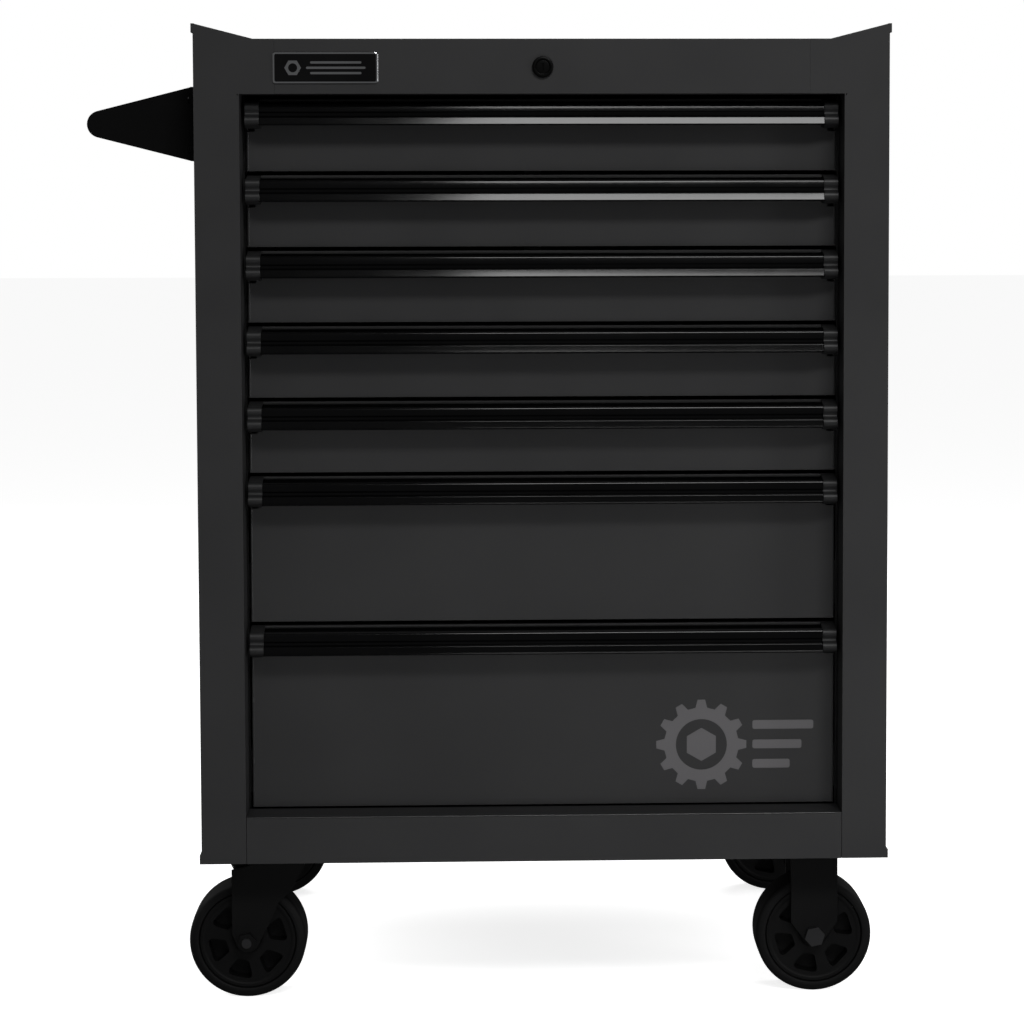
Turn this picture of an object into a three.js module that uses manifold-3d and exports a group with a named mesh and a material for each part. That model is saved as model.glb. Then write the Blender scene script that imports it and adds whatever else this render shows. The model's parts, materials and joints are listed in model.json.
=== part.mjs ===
// A seven-drawer rolling tool chest, in millimetres, +Z up, front facing -Y.
// The working frame has X = 0 on the cabinet's centre plane, Y = 0 on the front face of the frame and Z = 0
// on the floor. The last lines move the whole chest so that its origin is under the centre of its box.
import * as THREE from "three";
import { mergeVertices } from "three/addons/utils/BufferGeometryUtils.js";
import Module from "manifold-3d";

const wasm = await Module();
wasm.setup();

// ---------------------------------------------------------------- driving dimensions

const sheet = 1.2; // cabinet and drawer steel
const gap = 0.4; // between pieces that touch

const cabinet = {
  width: 685.8,
  depth: 610,
  height: 819.5, // underside to the top rail's upper edge
  post: 44.6, // width of each front post
  topRail: 54,
  bottomRail: 47,
  returnDepth: 43, // how far the front frame's flanges go back
  railLip: 12, // height of the stiffening lip behind each rail
  postLip: 13, // width of the one behind each post
  backLap: 22, // how far the side sheets wrap round the back
  panEdge: 24, // height of the turned edges of the top deck and the floor
  cornerRun: 34.3, // how far the side sheets reach over the opening's corners
  cornerNotch: 3, // relief cut at the opening's upper corners
  flareRise: 15, // how far the side sheets stand above the top rail
  flareRun: 58.4,
  hemProud: 2,
  hemHeight: 9,
};

const drawer = {
  units: [1, 1, 1, 1, 1, 2, 2.5], // face heights from the top down, in rows
  between: 4.2, // gap from face to face
  topClear: 4,
  bottomClear: 1.5,
  sideClear: 3.9,
  recess: 45, // faces sit this far behind the frame
  frontThickness: 15,
  behind: 35, // room behind the boxes for the lock bar
  floorAbove: 6, // box floor above the face's lower edge
  wallBelow: 12, // box wall top below the face's upper edge
  catchHalf: 12, // half the width of the catch on the back
  notch: { width: 8, height: 3, down: 32 }, // cut in each side edge of the face, below the pull
};

const slide = {
  thickness: 12.7,
  clearance: 0.6, // slide to the opening's edge
  height: 45,
  steel: 1.4,
  ballRoom: 1.6, // from one member to the next, for the balls
  rise: 21.5, // slide centre above the face's lower edge, one-row drawers
  deepRise: 34.5, // the same for the deeper drawers
  upright: 26, // width of the uprights that carry the slides
  uprightFront: 60, // front upright's front edge, behind the frame
  uprightRear: 90, // rear upright's front edge, ahead of the cabinet's back
};

const pull = { capWidth: 13.8, wall: 2.2 };

const lock = {
  x: 0,
  below: 27.9, // centre below the rail's upper edge
  head: 10.5,
  proud: 4,
  barrel: 8.5,
  length: 26, // rail's face to the cam
  cam: 13,
  camHalf: 4,
  camSheet: 3,
  lift: 10,
};

const badge = {
  fromSide: 129.5, // centre to the cabinet's left side
  below: 28.5, // centre below the rail's upper edge
  width: 103,
  height: 30.5,
  corner: 2.5,
  thickness: 1.6,
};

const handle = {
  reach: 110.2, // side sheet to the handle's outermost point
  below: 82.3, // centre below the top rail's upper edge
  tipWall: 2, // bracket outside the tube
  baseHalf: 36.8,
  flange: 6.4,
  thickness: 24,
  baseLap: 6, // base plate past the bracket on each side
  fromFront: 60, // bracket centre to the cabinet's front and back
  tube: 11.5,
  tubeWall: 1.5,
  socket: 10,
};

const caster = {
  wheel: 59.3, // tread radius
  width: 48,
  above: 32.4, // tread to the cabinet's underside
  fromSide: 66.4, // plate centre to the cabinet's side
  fromFront: 81.3, // wheel's middle plane to the cabinet's front and back
  trail: 26,
  plate: [92, 84, 3],
  boltSpread: [34, 30], // holes from the plate's centre
  bolt: 4.5,
  legSheet: 3,
  legClear: 2.2,
  legHalf: 23.9,
  legEye: 11.5, // radius of a leg's end round the axle
  axle: 5,
  boltHead: 10.6,
  headHeight: 6.5,
  tyre: 10.1, // tread to rim
  hub: 13,
  window: [10, 8.2], // hub to window, and window to rim
};

// ---------------------------------------------------------------- sizes that follow

const half = cabinet.width / 2;
const underside = 2 * caster.wheel + caster.above;
const top = underside + cabinet.height;
const openingTop = top - cabinet.topRail;
const openingBottom = underside + cabinet.bottomRail;
const openingHalf = half - cabinet.post;
const wallInside = half - sheet;
const innerHalf = wallInside - gap;
const flareTop = top + cabinet.flareRise;
const seamX = openingHalf - cabinet.cornerRun;
const deckTop = top - sheet - gap;
const backFront = cabinet.depth - sheet;
const sideBack = backFront - gap;
const lapFront = sideBack - sheet;
const rows = drawer.units.reduce((a, b) => a + b, 0);
const rowPitch =
  (openingTop - openingBottom - drawer.topClear - drawer.bottomClear + drawer.between) / rows;
const faceHalf = openingHalf - drawer.sideClear;
const boxHalf = openingHalf - slide.clearance - slide.thickness;
const boxFront = drawer.recess + drawer.frontThickness;
const boxBack = cabinet.depth - drawer.behind;
const lockZ = top - lock.below;
const badgeX = badge.fromSide - half;
const badgeZ = top - badge.below;
const handleZ = top - handle.below;
const casterTop = underside - gap;
const casterX = half - caster.fromSide;
const rimRadius = caster.wheel - caster.tyre;
const legInner = caster.width / 2 + caster.legClear;
const legOuter = legInner + caster.legSheet;
const barThickness = 6;
const barBottom = lockZ + lock.cam - barThickness + 0.5;

// Face bottom, face top and slide centre of every drawer, from the top one down.
const levels = [];
let faceTop = openingTop - drawer.topClear;
for (const units of drawer.units) {
  const bottom = faceTop - units * rowPitch + drawer.between;
  const rise = units > 1 ? slide.deepRise : slide.rise;
  levels.push({ bottom, top: faceTop, slide: bottom + rise });
  faceTop = bottom - drawer.between;
}

// ---------------------------------------------------------------- solids

// A closed geometry as a manifold-3d solid.
function solid(geometry) {
  const bare = geometry.clone();
  bare.deleteAttribute("normal");
  bare.deleteAttribute("uv");
  const merged = mergeVertices(bare, 1e-4);
  return new wasm.Manifold(
    new wasm.Mesh({
      numProp: 3,
      vertProperties: new Float32Array(merged.attributes.position.array),
      triVerts: new Uint32Array(merged.index.array),
    }),
  );
}

const join = (first, ...others) => others.reduce((whole, piece) => whole.add(piece), first);
const cut = (first, ...others) => others.reduce((whole, piece) => whole.subtract(piece), first);

// A block between two limits along each axis, given in either order.
function block(x, y, z) {
  const size = [x, y, z].map(([a, b]) => Math.abs(b - a));
  const middle = [x, y, z].map(([a, b]) => (a + b) / 2);
  return solid(new THREE.BoxGeometry(...size).translate(...middle));
}

// An outline of [x, z] points carried along Y.
function alongY(points, y0, y1, holes = []) {
  const shape = new THREE.Shape(points.map(([x, z]) => new THREE.Vector2(x, z)));
  for (const hole of holes) {
    shape.holes.push(new THREE.Path(hole.map(([x, z]) => new THREE.Vector2(x, z))));
  }
  const geometry = new THREE.ExtrudeGeometry(shape, { depth: y1 - y0, bevelEnabled: false });
  return solid(geometry.rotateX(Math.PI / 2).translate(0, y1, 0));
}

// An outline of [y, z] points carried along X.
function alongX(points, x0, x1) {
  const shape = new THREE.Shape(points.map(([y, z]) => new THREE.Vector2(y, z)));
  const geometry = new THREE.ExtrudeGeometry(shape, { depth: x1 - x0, bevelEnabled: false });
  return solid(geometry.rotateX(Math.PI / 2).rotateZ(Math.PI / 2).translate(x0, 0, 0));
}

// An outline of [x, y] points carried along Z.
function alongZ(points, z0, z1) {
  const shape = new THREE.Shape(points.map(([x, y]) => new THREE.Vector2(x, y)));
  const geometry = new THREE.ExtrudeGeometry(shape, { depth: z1 - z0, bevelEnabled: false });
  return solid(geometry.translate(0, 0, z0));
}

// A cylinder on an axis parallel to Y or Z, between two places on it.
function rod(axis, radius, from, to, centre, sides = 32) {
  const length = to - from;
  const geometry = new THREE.CylinderGeometry(radius, radius, length, sides);
  if (axis === "z") {
    geometry.rotateX(Math.PI / 2).translate(centre[0], centre[1], (from + to) / 2);
  } else {
    geometry.translate(centre[0], (from + to) / 2, centre[1]);
  }
  return solid(geometry);
}

// A ring or disc turned about the Y axis: profile points are [radius, y].
function turned(profile, sides) {
  return solid(new THREE.LatheGeometry(profile.map(([r, y]) => new THREE.Vector2(r, y)), sides));
}

// Points on an arc, in degrees.
function arc(x, z, radius, from, to, steps) {
  const points = [];
  for (let i = 0; i <= steps; i++) {
    const angle = ((from + ((to - from) * i) / steps) * Math.PI) / 180;
    points.push([x + radius * Math.cos(angle), z + radius * Math.sin(angle)]);
  }
  return points;
}

// ---------------------------------------------------------------- materials

function material(colour, roughness, metalness) {
  return new THREE.MeshStandardMaterial({ color: colour, roughness, metalness });
}

const paint = material(0x232324, 0.5, 0);
const innerSteel = material(0x1c1c1d, 0.6, 0);
const pullBlack = material(0x08080a, 0.25, 0.6);
const zinc = material(0x9a9c9e, 0.35, 1);
const plastic = material(0x0b0b0c, 0.6, 0);
const rubber = material(0x0a0a0a, 0.8, 0);
const casterSteel = material(0x101011, 0.45, 0.4);
const boltSteel = material(0x5c5e60, 0.4, 1);
const badgeFace = material(0x0c0c0d, 0.3, 0);
const handleBlack = material(0x060607, 0.65, 0);

const chest = new THREE.Group();
const frame = new THREE.Group();
chest.add(frame);

function part(name, shape, look) {
  const made = shape.getMesh();
  const geometry = new THREE.BufferGeometry();
  geometry.setAttribute("position", new THREE.BufferAttribute(made.vertProperties, 3));
  geometry.setIndex(new THREE.BufferAttribute(made.triVerts, 1));
  geometry.computeVertexNormals();
  const mesh = new THREE.Mesh(geometry, look);
  mesh.name = name;
  frame.add(mesh);
  return mesh;
}

// ---------------------------------------------------------------- cabinet

// One sheet makes the side wall, the front post with its flared top, and the flanges behind it.
function sidePanel(side) {
  const x = (value) => side * value;
  const notch = cabinet.cornerNotch;
  const face = [
    [x(half), underside],
    [x(openingHalf), underside],
    [x(openingHalf), openingTop - notch],
    [x(openingHalf + notch), openingTop],
    [x(seamX), openingTop],
    [x(seamX), top],
    [x(half - cabinet.flareRun), top],
    [x(half), flareTop],
  ];
  const aboveTray = underside + sheet + gap;
  const back = cabinet.returnDepth;
  const hemX = [x(wallInside), x(half + cabinet.hemProud)];
  const hem = (low, high) => block(hemX, [0, sideBack], [low, high]);
  return join(
    alongY(face, 0, sheet),
    block([x(wallInside), x(half)], [0, sideBack], [underside, flareTop]),
    block([x(openingHalf), x(openingHalf + sheet)], [0, back], [aboveTray, openingTop + sheet]),
    block([x(openingHalf), x(openingHalf + cabinet.postLip)], [back - sheet, back], [aboveTray, openingTop]),
    block([x(seamX), x(openingHalf + sheet)], [0, back], [openingTop, openingTop + sheet]),
    block([x(half - cabinet.backLap), x(half)], [lapFront, sideBack], [underside, flareTop]),
    hem(underside, underside + cabinet.hemHeight),
    hem(flareTop - cabinet.hemHeight, flareTop),
  );
}
part("left_side_panel", sidePanel(-1), paint);
part("right_side_panel", sidePanel(1), paint);

// The rail over the drawers, with a short flange on top and a deep one below.
function topFrontRail() {
  const end = seamX - gap;
  const back = cabinet.returnDepth;
  const lip = openingTop + cabinet.railLip;
  const ledge = 25;
  const profile = [
    [0, openingTop],
    [back, openingTop],
    [back, lip],
    [back - sheet, lip],
    [back - sheet, openingTop + sheet],
    [sheet, openingTop + sheet],
    [sheet, top - sheet],
    [ledge, top - sheet],
    [ledge, top],
    [0, top],
  ];
  const hole = rod("y", lock.barrel + gap, -1, sheet + 1, [lock.x, lockZ]);
  return cut(alongX(profile, -end, end), hole);
}
part("top_front_rail", topFrontRail(), paint);

// The top deck is a sheet with turned-down edges, below the flared sides.
function topPanel() {
  const edge = cabinet.panEdge;
  const front = sheet + gap;
  const back = lapFront - gap;
  const inside = innerHalf - sheet;
  return cut(
    block([-innerHalf, innerHalf], [front, back], [deckTop - edge, deckTop]),
    block([-inside, inside], [front - 1, back - sheet], [deckTop - edge - 1, deckTop - sheet]),
  );
}
part("top_panel", topPanel(), paint);

// Floor and lower front rail in one sheet.
function bottomTray() {
  const low = underside;
  const edge = cabinet.panEdge;
  const end = openingHalf - gap;
  const front = sheet + gap;
  const back = lapFront - gap;
  const inside = innerHalf - sheet;
  const ret = cabinet.returnDepth;
  const lip = openingBottom - cabinet.railLip;
  const rail = [
    [0, low],
    [front + 1, low],
    [front + 1, low + sheet],
    [sheet, low + sheet],
    [sheet, openingBottom - sheet],
    [ret - sheet, openingBottom - sheet],
    [ret - sheet, lip],
    [ret, lip],
    [ret, openingBottom],
    [0, openingBottom],
  ];
  const floor = cut(
    block([-innerHalf, innerHalf], [front, back], [low, low + edge]),
    block([-inside, inside], [front - 1, back - sheet], [low + sheet, low + edge + 1]),
  );
  return join(floor, alongX(rail, -end, end));
}
part("bottom_tray", bottomTray(), paint);

// The back sheet lies on the laps of the side sheets. Two keepers on it guide the lock bar.
const strip = { half: 10, y: [boxBack + 19, boxBack + 22] };
const keeper = { clear: 1, wall: 2, height: 10 };
function backPanel() {
  const bare = block([-half, half], [backFront, cabinet.depth], [underside, flareTop]);
  const keepers = [levels.at(-1).top - 2, levels[0].top + 16].map((z) => {
    const inside = strip.half + keeper.clear;
    const outside = inside + keeper.wall;
    const front = strip.y[0] - keeper.clear;
    const high = z + keeper.height;
    const outer = block([-outside, outside], [front - keeper.wall, backFront + sheet / 2], [z, high]);
    return cut(outer, block([-inside, inside], [front, backFront], [z - 1, high + 1]));
  });
  return join(bare, ...keepers);
}
part("back_panel", backPanel(), paint);

// ---------------------------------------------------------------- slides

// One slide member: a channel whose web is [from, to] and whose lips start at lip, all measured out from the
// drawer wall.
function slideMember(side, level, { web, lip, halfHeight }, [y0, y1]) {
  const x = (out) => side * (boxHalf + out);
  const [near, far] = lip > web[1] ? web : [web[1], web[0]];
  const inner = halfHeight - slide.steel;
  const profile = [
    [x(near), level - halfHeight],
    [x(lip), level - halfHeight],
    [x(lip), level - inner],
    [x(far), level - inner],
    [x(far), level + inner],
    [x(lip), level + inner],
    [x(lip), level + halfHeight],
    [x(near), level + halfHeight],
  ];
  return alongY(profile, y0, y1);
}

const slideY = [boxFront + 1, boxBack];
const memberStep = slide.steel + slide.ballRoom;
const outerMember = {
  web: [slide.thickness - slide.steel, slide.thickness],
  lip: memberStep,
  halfHeight: slide.height / 2,
};
const middleMember = {
  web: outerMember.web.map((out) => out - memberStep),
  lip: slide.steel + gap,
  halfHeight: slide.height / 2 - memberStep,
};
const drawerMember = {
  web: [-0.2, slide.steel],
  lip: middleMember.web[0] - slide.ballRoom,
  halfHeight: slide.height / 2 - 2 * memberStep,
};

const member = (side, level, kind) => slideMember(side, level, kind, slideY);

// Two uprights carry the cabinet members of all seven slides on one side.
function slideRack(side) {
  const web = openingHalf - slide.clearance;
  const low = underside + sheet + gap;
  const high = deckTop - cabinet.panEdge - 2;
  const near = side * (web - 0.2);
  const inside = side * (web + sheet);
  const far = side * (innerHalf - sheet - gap);
  const uprights = [slide.uprightFront, cabinet.depth - slide.uprightRear].map((y) => {
    const back = y + slide.upright;
    const channel = [
      [near, y],
      [far, y],
      [far, y + sheet],
      [inside, y + sheet],
      [inside, back - sheet],
      [far, back - sheet],
      [far, back],
      [near, back],
    ];
    return alongZ(channel, low, high);
  });
  return join(...uprights, ...levels.map((level) => member(side, level.slide, outerMember)));
}
part("left_slide_rack", slideRack(-1), innerSteel);
part("right_slide_rack", slideRack(1), innerSteel);

// ---------------------------------------------------------------- lock

const camY = [lock.length, lock.length + lock.camSheet];

// Head, barrel and cam turn together. The cam lies level when the drawers are free.
function lockPlug() {
  const centre = [lock.x, lockZ];
  const camHeight = [lockZ - lock.camHalf, lockZ + lock.camHalf];
  const keyway = block([lock.x - 1, lock.x + 1], [-lock.proud - 1, -lock.proud + 2.5], camHeight);
  const plug = join(
    rod("y", lock.head, -lock.proud, -0.3, centre),
    rod("y", lock.barrel, -gap, camY[0] + 0.1, centre, 24),
    block([lock.x - lock.camHalf, lock.x + lock.cam], camY, camHeight),
  );
  return cut(plug, keyway);
}
part("lock_plug", lockPlug(), plastic);

// A bar over the drawers and down the back, with one tooth for each drawer.
const tooth = { width: 6, arm: 2, rise: lock.lift, y: [boxBack + 5, boxBack + 9] };
const catchDrop = 14; // box wall's top to the lower edge of a drawer's catch
const hookLip = (level) => level.top - drawer.wallBelow - catchDrop;
function lockBar() {
  const teeth = levels.flatMap((level) => {
    const tip = hookLip(level) - 1;
    const arm = tip - tooth.rise;
    const x = [-tooth.width, tooth.width];
    return [
      block(x, [tooth.y[0], strip.y[0] + 1], [arm - tooth.arm, arm]),
      block(x, tooth.y, [arm - tooth.arm, tip]),
    ];
  });
  const foot = hookLip(levels.at(-1)) - tooth.rise - 20;
  return join(
    block([-tooth.width, tooth.width], [camY[0] + 0.5, strip.y[1]], [barBottom, barBottom + barThickness]),
    block([-strip.half, strip.half], strip.y, [foot, barBottom + barThickness]),
    ...teeth,
  );
}
part("lock_bar", lockBar(), zinc);

// ---------------------------------------------------------------- badge

function roundedRectangle(x, z, width, height, corner) {
  const a = width / 2 - corner;
  const b = height / 2 - corner;
  return [
    ...arc(x + a, z + b, corner, 0, 90, 4),
    ...arc(x - a, z + b, corner, 90, 180, 4),
    ...arc(x - a, z - b, corner, 180, 270, 4),
    ...arc(x + a, z - b, corner, 270, 360, 4),
  ];
}
const badgeOutline = roundedRectangle(badgeX, badgeZ, badge.width, badge.height, badge.corner);
part("badge_plate", alongY(badgeOutline, -gap - badge.thickness, -gap), badgeFace);

// ---------------------------------------------------------------- side handle

const tipRadius = handle.tube + handle.tipWall;
const gripX = -half - handle.reach + tipRadius;
const bracketRoot = -half - gap;

// A tapered bracket: two straight edges from the base to the round tip.
function handleBracket(y, inward) {
  const reach = bracketRoot - handle.flange - gripX;
  const rise = handle.baseHalf;
  const distance = Math.hypot(reach, rise);
  const lean = Math.atan2(rise, reach) + Math.acos(tipRadius / distance);
  const start = (lean * 180) / Math.PI;
  const outline = [
    [bracketRoot - handle.flange, handleZ + rise],
    ...arc(gripX, handleZ, tipRadius, start, 360 - start, 16),
    [bracketRoot - handle.flange, handleZ - rise],
  ];
  const baseReach = handle.thickness / 2 + handle.baseLap;
  const base = [y - baseReach, y + baseReach];
  const body = join(
    alongY(outline, y - handle.thickness / 2, y + handle.thickness / 2),
    block([bracketRoot - handle.flange - 0.2, bracketRoot], base, [handleZ - rise, handleZ + rise]),
  );
  const mouth = y + (inward * handle.thickness) / 2;
  const ends = [mouth - inward * handle.socket, mouth + inward].sort((a, b) => a - b);
  return cut(body, rod("y", handle.tube + gap / 2, ...ends, [gripX, handleZ]));
}
const bracketFront = handle.fromFront;
const bracketRear = cabinet.depth - handle.fromFront;
part("handle_bracket_front", handleBracket(bracketFront, 1), handleBlack);
part("handle_bracket_rear", handleBracket(bracketRear, -1), handleBlack);

function handleTube() {
  const inset = handle.thickness / 2 - handle.socket + gap;
  const span = [bracketFront + inset, bracketRear - inset];
  const bore = handle.tube - handle.tubeWall;
  const centre = [gripX, handleZ];
  return cut(rod("y", handle.tube, ...span, centre), rod("y", bore, span[0] - 1, span[1] + 1, centre, 24));
}
part("handle_tube", handleTube(), handleBlack);

// ---------------------------------------------------------------- casters

const casterY = { front: caster.fromFront, rear: cabinet.depth - caster.fromFront };
const [boltX, boltY] = caster.boltSpread;
const boltPlaces = [-boltX, boltX].flatMap((dx) => [-boltY, boltY].map((dy) => [dx, dy]));

// A top plate with four fixing holes.
function topPlate(x, y) {
  const [along, across, thick] = caster.plate;
  const low = casterTop - thick;
  const slab = block([x - along / 2, x + along / 2], [y - across / 2, y + across / 2], [low, casterTop]);
  const ends = [low - 1, casterTop + 1];
  const holes = boltPlaces.map(([dx, dy]) => rod("z", caster.bolt, ...ends, [x + dx, y + dy], 8));
  return cut(slab, ...holes);
}

// Plate, upper race and king pin, which ends in a nut under the fork.
const race = { top: casterTop - caster.plate[2], height: 6, radius: 29, pin: 6, nut: 10 };
const forkTop = race.top - race.height - gap;
const forkCap = 3.2;
function swivelPlate(x, y) {
  return join(
    topPlate(x, y),
    rod("z", race.radius, race.top - race.height, race.top + 0.2, [x, y], 24),
    rod("z", race.pin, forkTop - 14, race.top, [x, y], 12),
    rod("z", race.nut, forkTop - forkCap - 9, forkTop - forkCap - 1.5 - gap, [x, y], 6),
  );
}

// Two legs that stand beside the wheel, given one outline around the axle's centre.
function legs(outline, x, y) {
  const placed = outline.map(([dx, dz]) => [x + dx, caster.wheel + dz]);
  const hole = arc(x, caster.wheel, caster.axle + 0.3, 0, 330, 11);
  return [
    alongY(placed, y - legOuter, y - legInner, [hole]),
    alongY(placed, y + legInner, y + legOuter, [hole]),
  ];
}

function swivelFork(x, y) {
  const wheelX = x - caster.trail;
  const roof = forkTop - forkCap - caster.wheel;
  const outline = [
    [-15.3, roof - 5],
    [-15.3, 8],
    ...arc(0, 0, caster.legEye, 195, 330, 6),
    [23.6, 20.4],
    [32.5, 40.6],
    [45.5, 52.6],
    [58.5, roof - 1],
    [58.5, roof + 0.5],
    [8, roof + 0.5],
  ];
  const roofZ = [forkTop - forkCap - 0.5, forkTop - 0.8];
  const cap = join(
    block([wheelX + 4, wheelX + 58.5], [y - legOuter, y + legOuter], roofZ),
    rod("z", race.radius + 3, forkTop - forkCap, forkTop, [x, y], 24),
  );
  const bore = rod("z", race.pin + gap, forkTop - forkCap - 2, forkTop + 1, [x, y], 12);
  return cut(join(cap, ...legs(outline, wheelX, y)), bore);
}

function rigidFork(x, y) {
  const roof = casterTop - caster.plate[2] - caster.wheel + 0.5;
  const w = caster.legHalf;
  const outline = [
    [-w, roof],
    [-w, 14],
    ...arc(0, 0, caster.legEye, 200, 340, 6),
    [w, 14],
    [w, roof],
  ];
  return join(topPlate(x, y), ...legs(outline, x, y));
}

const wheelSides = 32;

// Bolt with a hex head at one end and a nut at the other: head faces the front when turn is 1.
function axle(x, y, turn) {
  const at = (a, b) => [y + turn * a, y + turn * b].sort((p, q) => p - q);
  const centre = [x, caster.wheel];
  const head = legOuter + gap;
  return join(
    rod("y", caster.axle, ...at(-head - 1, head + 10), centre, 12),
    rod("y", caster.boltHead, ...at(-head - caster.headHeight, -head), centre, 6),
    rod("y", caster.boltHead, ...at(head, head + caster.headHeight), centre, 6),
  );
}

// Outline of one of the six windows round the hub, with its corners cut.
function rimWindow(index) {
  const middle = 17 + 60 * index;
  const inner = caster.hub + caster.window[0];
  const outer = rimRadius - caster.window[1];
  const corner = 4;
  return [
    [inner, -11],
    [inner + corner, -20],
    [outer - corner, -19],
    [outer, -13],
    [outer, 13],
    [outer - corner, 19],
    [inner + corner, 20],
    [inner, 11],
  ].map(([radius, turn]) => {
    const angle = ((middle + turn) * Math.PI) / 180;
    return [radius * Math.cos(angle), radius * Math.sin(angle)];
  });
}

function rim() {
  const w = caster.width / 2 - 2;
  const hubEnd = caster.width / 2 + 1;
  const bore = caster.axle + gap;
  const profile = [
    [bore, -hubEnd],
    [caster.hub, -hubEnd],
    [caster.hub, -w],
    [rimRadius, -w],
    [rimRadius, w],
    [caster.hub, w],
    [caster.hub, hubEnd],
    [bore, hubEnd],
    [bore, -hubEnd],
  ];
  const web = 4;
  const windows = [0, 1, 2, 3, 4, 5].flatMap((index) => [
    alongY(rimWindow(index), -w - 1, -web),
    alongY(rimWindow(index), web, w + 1),
  ]);
  return cut(turned(profile, wheelSides), ...windows);
}

function tyre() {
  const w = caster.width / 2;
  const inner = rimRadius + gap;
  const profile = [
    [inner, -w],
    [caster.wheel - 4.5, -w],
    [caster.wheel - 1, -w + 4],
    [caster.wheel, -w + 10],
    [caster.wheel, w - 10],
    [caster.wheel - 1, w - 4],
    [caster.wheel - 4.5, w],
    [inner, w],
    [inner, -w],
  ];
  return turned(profile, wheelSides);
}

for (const end of ["front", "rear"]) {
  const y = casterY[end];
  const wheels = [
    { kind: "swivel", x: -casterX - caster.trail, turn: -1, fork: swivelFork(-casterX, y) },
    { kind: "rigid", x: casterX, turn: 1, fork: rigidFork(casterX, y) },
  ];
  part(`swivel_plate_${end}`, swivelPlate(-casterX, y), casterSteel);
  for (const { kind, x, turn, fork } of wheels) {
    part(`${kind}_fork_${end}`, fork, casterSteel);
    part(`${kind}_axle_${end}`, axle(x, y, turn), boltSteel);
    part(`${kind}_rim_${end}`, rim().translate([x, y, caster.wheel]), plastic);
    part(`${kind}_tyre_${end}`, tyre().translate([x, y, caster.wheel]), rubber);
  }
}

// ---------------------------------------------------------------- drawers

// A steel box behind a folded front, with the drawer members of its slides and a catch for the lock bar.
function drawerBox(level) {
  const low = level.bottom + drawer.floorAbove;
  const high = level.top - drawer.wallBelow;
  const lip = hookLip(level);
  const { width, height, down } = drawer.notch;
  const notchY = [drawer.recess - 1, drawer.recess + sheet + 1];
  const notchZ = [level.top - down, level.top - down + height];
  const front = cut(
    block([-faceHalf, faceHalf], [drawer.recess, boxFront], [level.bottom, level.top]),
    block(
      [-faceHalf + sheet, faceHalf - sheet],
      [drawer.recess + sheet, boxFront - sheet],
      [level.bottom + sheet, level.top - sheet],
    ),
    block([-faceHalf - 1, faceHalf + 1], [boxFront - 6, boxFront + 1], [high, level.top + 1]),
    block([-faceHalf - 1, -faceHalf + width], notchY, notchZ),
    block([faceHalf - width, faceHalf + 1], notchY, notchZ),
  );
  const box = cut(
    block([-boxHalf, boxHalf], [boxFront - sheet, boxBack], [low, high]),
    block([-boxHalf + sheet, boxHalf - sheet], [boxFront, boxBack - sheet], [low + sheet, high + 1]),
  );
  const ends = [boxBack - sheet, tooth.y[1] + 6];
  const hook = [
    [ends[0], lip + tooth.rise],
    [ends[1] - 1.5, lip + tooth.rise],
    [ends[1] - 1.5, lip],
    [ends[1], lip],
    [ends[1], lip + tooth.rise + 1.5],
    [ends[0], lip + tooth.rise + 1.5],
  ];
  const members = [-1, 1].map((side) => member(side, level.slide, drawerMember));
  return join(front, box, alongX(hook, -drawer.catchHalf, drawer.catchHalf), ...members);
}

// Section of the pull, as distance in front of the face and height below its upper edge: a hollow hook with
// two ribs along its front and a lip underneath, open below for the fingers.
function pullProfile() {
  const outer = [
    [gap, -1.5],
    [19.5, -4.8],
    ...arc(20.7, -8.4, 3.4, 80, -55, 6),
    [21.4, -13.6],
    [21.4, -17],
    ...arc(23.6, -21.6, 3.6, 60, -50, 6),
    [30.5, -25],
    [30.5, -26.4],
    [23.5, -26.4],
  ];
  const w = pull.wall;
  const inner = [
    [23.5 - w + 0.4, -23],
    [21.4 - w, -19.5],
    [21.4 - w, -12],
    [19.5 - w, -4.8 - w],
    [gap + w, -1.5 - w],
    [gap + w, -14],
    [gap, -14],
  ];
  return [...outer, ...inner];
}

function drawerPull(level) {
  const end = faceHalf - pull.capWidth;
  const placed = pullProfile().map(([out, down]) => [drawer.recess - out, level.top + down]);
  return alongX(placed, -end, end);
}

levels.forEach((level, index) => {
  const number = index + 1;
  part(`drawer_${number}_box`, drawerBox(level), paint);
  part(`drawer_${number}_pull`, drawerPull(level), pullBlack);
  part(`drawer_${number}_slide_left`, member(-1, level.slide, middleMember), zinc);
  part(`drawer_${number}_slide_right`, member(1, level.slide, middleMember), zinc);
});

// ---------------------------------------------------------------- origin

const leftmost = -half - handle.reach;
const rightmost = half + cabinet.hemProud;
frame.position.set(-(leftmost + rightmost) / 2, -(cabinet.depth - lock.proud) / 2, 0);

export default chest;
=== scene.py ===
"""Looks of the rolling tool chest: materials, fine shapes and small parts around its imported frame."""
import json
import math

import bmesh
import bpy
from mathutils import Matrix, Vector

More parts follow.
